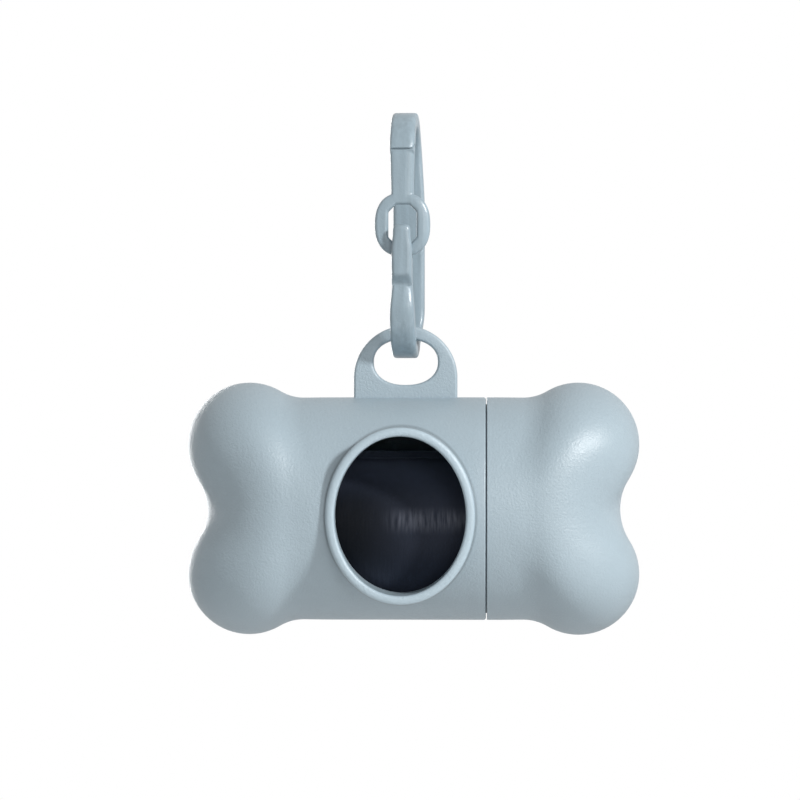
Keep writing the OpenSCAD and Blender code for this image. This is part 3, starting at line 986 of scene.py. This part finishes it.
# Painted shade in a line round the rim's foot, which is full from FOOT_FULL to FOOT_FADE, in units of the
# rim's oval
FOOT_PAINTED_SHADE = 0.7
FOOT_START, FOOT_FULL, FOOT_FADE, FOOT_STOP = 0.98, 1.0, 1.005, 1.035
# Bag film: its creases, the pitch of its wound turns, and how much paler it is painted off its front, a
# painted sheen
CREASE_SCALE, CREASE_SQUEEZE = 340, (5.0, 1.0, 0.6)
TURN_PITCH = 0.5
OFF_FRONT_PAINTED_SHEEN = 1.7
# Painted light: the film is painted paler towards the cap between these places along the roll
PAINTED_LIGHT_X = (-10, 8)
# Painted highlights on the crinkles, in a band that sets in between these places along the roll. Its middle
# line lies at this height, and it reaches this far above and below. Its threads are the creases that stand
# out from one value to the other.
CRINKLE_X, CRINKLE_Z, CRINKLE_HALF = (-5, 3), -67.4, 3.0
THREAD_LOW, THREAD_HIGH = 0.35, 0.75
# Card: the scale of its fibres
FIBRE_SCALE = 1500
CASE_COLOUR = (0.375, 0.465, 0.520)
CLIP_COLOUR = (0.295, 0.380, 0.433)
CARD_COLOUR = (0.42, 0.31, 0.20)
FILM_DARK = (0.002, 0.003, 0.005)
# Painted light: the pale film colour, and the colour of the painted highlights on the crinkles
FILM_PAINTED_LIGHT = (0.028, 0.034, 0.052)
FILM_CRINKLE_HIGHLIGHT = (0.14, 0.15, 0.185)
FILM_SHEEN = (0.35, 0.45, 0.65)


def rim_foot(tree):
    """1 along the oval line round the rim's foot, where the painted shade goes, 0 away from it."""
    place = centred(
        tree,
        own_place(tree),
        (-WINDOW_LEFT * MM, 0, WINDOW_Z * MM),
        ((WINDOW_W / 2 + RIM_W) * MM, 1, (WINDOW_H / 2 + RIM_W) * MM),
    )
    flat = tree.nodes.new("ShaderNodeVectorMath")
    flat.operation = "MULTIPLY"
    flat.inputs[1].default_value = (1, 0, 1)
    link(tree, place, flat.inputs[0])
    reach = length_of(tree, flat.outputs["Vector"])
    return times(
        tree,
        spread(tree, reach, FOOT_START, FOOT_FULL),
        spread(tree, reach, FOOT_STOP, FOOT_FADE),
    )


def with_painted_rim_light_and_shade(tree, shade, colour):
    """The case's shade with painted light on the window rim and a line of painted shade round the rim's
    foot.
    """
    before_barrel = object_axis(tree, "Y", *(-BARREL_R - depth for depth in RIM_DEPTHS))
    # Painted light: the rim's front is painted paler than the case
    shade = blend(tree, before_barrel, shade, shade_of(colour, RIM_PAINTED_LIGHT))
    on_front_half = object_axis(tree, "Y", 0, -1)
    foot = times(tree, rim_foot(tree), on_front_half)
    # Painted shade: a darker line round the rim's foot, on the front half
    return blend(tree, foot, shade, shade_of(colour, FOOT_PAINTED_SHADE))


def moulded_surface(tree, surface, shade, roughness, grain, depth):
    """Matt moulded plastic: fine spark texture up to depth deep, and a slightly uneven gloss."""
    link(tree, shade, surface.inputs["Base Color"])
    gloss = tree.nodes.new("ShaderNodeMapRange")
    gloss.inputs["To Min"].default_value = roughness - GLOSS_SPREAD
    gloss.inputs["To Max"].default_value = roughness + GLOSS_SPREAD
    link(tree, speckle(tree, GLOSS_SCALE), gloss.inputs["Value"])
    link(tree, gloss.outputs["Result"], surface.inputs["Roughness"])
    surface.inputs["Specular IOR Level"].default_value = SHINE
    link(tree, relief(tree, speckle(tree, grain, 3.0, 0.6), depth), surface.inputs["Normal"])


def case_plastic():
    """Blue-grey plastic with faint flow shades. The window's rim is painted paler, as painted light, and
    painted shade lines its foot.
    """
    material, tree, surface = finish_nodes("matt_blue_grey_case")
    flow = speckle(tree, FLOW_SCALE, 3.0)
    shade = uneven(tree, flow, CASE_COLOUR, 1 - FLOW_SHADE, 1 + FLOW_SHADE)
    shade = with_painted_rim_light_and_shade(tree, shade, CASE_COLOUR)
    moulded_surface(tree, surface, shade, roughness=0.38, grain=2300, depth=0.10)
    return material


def clip_plastic():
    """Satin blue-grey plastic with flow streaks that run up and down."""
    material, tree, surface = finish_nodes("satin_blue_grey_clip")
    streaks = speckle(tree, STREAK_SCALE, 3.0, squeeze=STREAK_SQUEEZE)
    shade = uneven(tree, streaks, CLIP_COLOUR, 1 - STREAK_SHADE, 1 + STREAK_SHADE)
    moulded_surface(tree, surface, shade, roughness=0.30, grain=1800, depth=0.04)
    return material


def wound_turns(tree):
    """Uneven rings about the roll's axis, the edges of the wound turns."""
    rings = tree.nodes.new("ShaderNodeTexWave")
    rings.wave_type = "RINGS"
    rings.rings_direction = "X"
    rings.inputs["Scale"].default_value = 1 / TURN_PITCH / MM / TURN
    rings.inputs["Distortion"].default_value = 1.5
    rings.inputs["Detail Scale"].default_value = 0.5
    place = centred(tree, own_place(tree), (BONE_X * MM, 0, ROLL_Z * MM))
    link(tree, place, rings.inputs["Vector"])
    return rings.outputs["Fac"]


def painted_crinkle_highlights(tree, creases):
    """1 on the threads of the crinkled band, where painted highlights go, 0 away from them."""
    band = times(
        tree,
        object_axis(tree, "Z", CRINKLE_Z - CRINKLE_HALF, CRINKLE_Z),
        object_axis(tree, "Z", CRINKLE_Z + CRINKLE_HALF, CRINKLE_Z),
    )
    band = times(tree, band, object_axis(tree, "X", *CRINKLE_X))
    return times(tree, band, ramp(tree, creases, [(THREAD_LOW, (0, 0, 0)), (THREAD_HIGH, (1, 1, 1))]))


def bag_film():
    """Thin navy film with fine creases across the roll. Painted light makes it paler towards the cap and off
    its front, and paints highlights on a crinkled band.
    """
    material, tree, surface = finish_nodes("dark_bag_film")
    creases = speckle(tree, CREASE_SCALE, 4.0, squeeze=CREASE_SQUEEZE)
    # Painted light: the film is painted paler towards the cap
    shade = ramp(tree, object_axis(tree, "X", *PAINTED_LIGHT_X), [(0.0, FILM_DARK), (1.0, FILM_PAINTED_LIGHT)])
    off_front = object_axis(tree, "Y", -ROLL_R, -ROLL_R / 2)
    # Painted sheen: the film is painted paler off its front
    shade = blend(tree, off_front, shade, shade_of(FILM_PAINTED_LIGHT, OFF_FRONT_PAINTED_SHEEN))
    # Painted highlights on the threads of the crinkled band
    shade = blend(tree, painted_crinkle_highlights(tree, creases), shade, FILM_CRINKLE_HIGHLIGHT)
    link(tree, shade, surface.inputs["Base Color"])
    surface.inputs["Roughness"].default_value = 0.48
    surface.inputs["Specular IOR Level"].default_value = 0.1
    surface.inputs["Sheen Weight"].default_value = 0.4
    surface.inputs["Sheen Roughness"].default_value = 0.45
    surface.inputs["Sheen Tint"].default_value = (*FILM_SHEEN, 1)
    folds = relief(tree, creases, distance=0.3, strength=0.2)
    layers = relief(tree, wound_turns(tree), distance=0.1, strength=0.5, over=folds)
    link(tree, layers, surface.inputs["Normal"])
    return material


def raw_card():
    """Grey-brown card with short fibres."""
    material, tree, surface = finish_nodes("raw_card")
    fibre = speckle(tree, FIBRE_SCALE, 4.0, 0.7)
    link(tree, uneven(tree, fibre, CARD_COLOUR, 0.8, 1.15), surface.inputs["Base Color"])
    surface.inputs["Roughness"].default_value = 0.9
    link(tree, relief(tree, fibre, distance=0.1, strength=0.4), surface.inputs["Normal"])
    return material


def dress(obj, material, body, slot, *nodes):
    """Gives a piece its finish and the body it moves with, and hides the solids it stands for. Its slot is
    not used.
    """
    obj.data.materials.clear()
    obj.data.materials.append(material)
    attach(obj, body)
    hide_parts(*nodes)


case_finish = case_plastic()
clip_finish = clip_plastic()
film_finish = bag_film()
card_finish = raw_card()

dress(make_case(), case_finish, "shell", "shell", "main_shell")
dress(make_cap(), case_finish, "cap", "shell", "end_cap")
dress(make_clip_frame(), clip_finish, "clip", "clip", "clip_frame")
dress(make_clip_gate(), clip_finish, "gate", "clip", "clip_gate")
dress(make_bag_roll(), film_finish, "roll", "bags", "bag_roll")
dress(make_leading_bag(), film_finish, "roll", "bags", "leading_bag")
dress(make_core(), card_finish, "roll", "core", "roll_core")


# ---- floor, light and camera ----

# The floor's width and height in metres, and how much light it throws back
FLOOR_SIZE, FLOOR_Z = 2.4, -0.30
FLOOR_GREY = 0.76
# The white share of its look near its middle, and how far out it fades to all white, in metres
FLOOR_WHITE, FLOOR_FADE = 0.89, (0.3, 1.1)
# Strength of the light from all round, and the white share of what gloss reflects of it
AMBIENT, WHITE_IN_GLOSS = 0.38, 0.5
# The point that the lamps face, and each lamp's name, place, width in metres and power in watts
LAMP_AIM = (0, 0, -0.05)
LAMPS = (
    ("key", (0.861, -0.722, 0.498), 0.16, 11.6),
    ("front", (0.423, -1.302, 0.241), 0.5, 2.3),
    ("back", (-0.450, 1.300, 0.020), 0.6, 4.2),
)
# The camera's place and aim, the width that it takes in there, and how near and far it sees, in metres
VIEW_FROM = (0.0153, -0.600, -0.0450)
VIEW_AIM = (-0.0011, 0.0, -0.0450)
VIEW_WIDTH = 0.152
SEEN_FROM, SEEN_TO = 0.01, 20
# Width of the camera's sensor, in millimetres
SENSOR_WIDTH = 36


def seen_ray(tree, in_gloss):
    """1 for rays from the camera, in_gloss for those in reflections, and 0 for the light on things."""
    path = tree.nodes.new("ShaderNodeLightPath")
    gloss = times(tree, path.outputs["Is Glossy Ray"], in_gloss)
    return calculated(tree, "MAXIMUM", path.outputs["Is Camera Ray"], gloss)


def two_faced(tree, out, share, plain, seen):
    """Gives an output the plain shader where share is 0 and the seen one where it is 1."""
    mixed = tree.nodes.new("ShaderNodeMixShader")
    link(tree, share, mixed.inputs["Fac"])
    link(tree, plain, mixed.inputs[1])
    link(tree, seen, mixed.inputs[2])
    link(tree, mixed.outputs["Shader"], out.inputs["Surface"])


def floor_paint():
    """Pale paint that looks white to the camera and stays a plain reflector for the light.
    Near the floor's middle its white is a little short of whole, so that shadows show."""
    material = bpy.data.materials.new("pale_floor")
    material.use_nodes = True
    tree = material.node_tree
    tree.nodes.clear()
    matt = tree.nodes.new("ShaderNodeBsdfDiffuse")
    matt.inputs["Color"].default_value = (FLOOR_GREY, FLOOR_GREY, FLOOR_GREY, 1)
    white = tree.nodes.new("ShaderNodeEmission")
    white.inputs["Strength"].default_value = 1.0
    far = spread(tree, length_of(tree, own_place(tree)), *FLOOR_FADE)
    share = times(tree, seen_ray(tree, 0.0), calculated(tree, "MAXIMUM", far, FLOOR_WHITE))
    out = tree.nodes.new("ShaderNodeOutputMaterial")
    two_faced(tree, out, share, matt.outputs["BSDF"], white.outputs["Emission"])
    return material


def make_floor():
    """A wide floor under the hanging dispenser."""
    bpy.ops.object.select_all(action="DESELECT")
    bpy.ops.mesh.primitive_plane_add(size=FLOOR_SIZE, location=(0, 0, FLOOR_Z))
    floor = bpy.context.object
    floor.name = "floor"
    floor.data.materials.append(floor_paint())


def even_light(tree, strength):
    """White light from all round."""
    node = tree.nodes.new("ShaderNodeBackground")
    node.inputs["Color"].default_value = (1, 1, 1, 1)
    node.inputs["Strength"].default_value = strength
    return node.outputs["Background"]


def make_world():
    """A soft studio's even light, behind a background that looks white."""
    world = bpy.data.worlds.new("soft_studio")
    bpy.context.scene.world = world
    world.use_nodes = True
    tree = world.node_tree
    tree.nodes.clear()
    out = tree.nodes.new("ShaderNodeOutputWorld")
    share = seen_ray(tree, WHITE_IN_GLOSS)
    two_faced(tree, out, share, even_light(tree, AMBIENT), even_light(tree, 1.0))


def soft_lamp(name, place, size, power):
    """A round soft lamp that faces the object."""
    bpy.ops.object.select_all(action="DESELECT")
    bpy.ops.object.light_add(type="AREA", location=place)
    lamp = bpy.context.object
    lamp.name = name
    lamp.data.shape = "DISK"
    lamp.data.size = size
    lamp.data.energy = power
    lamp.rotation_euler = (Vector(LAMP_AIM) - Vector(place)).to_track_quat("-Z", "Y").to_euler()


def make_camera():
    """A camera that looks at the front, from a little to the cap's side."""
    data = bpy.data.cameras.new("camera")
    camera = bpy.data.objects.new("camera", data)
    bpy.context.scene.collection.objects.link(camera)
    line = Vector(VIEW_AIM) - Vector(VIEW_FROM)
    camera.location = VIEW_FROM
    camera.rotation_euler = line.to_track_quat("-Z", "Y").to_euler()
    data.sensor_width = SENSOR_WIDTH
    data.lens = SENSOR_WIDTH * line.length / VIEW_WIDTH
    data.clip_start = SEEN_FROM
    data.clip_end = SEEN_TO
    bpy.context.scene.camera = camera


make_floor()
make_world()
for lamp in LAMPS:
    soft_lamp(*lamp)
make_camera()
bpy.context.scene.view_settings.view_transform = "Standard"
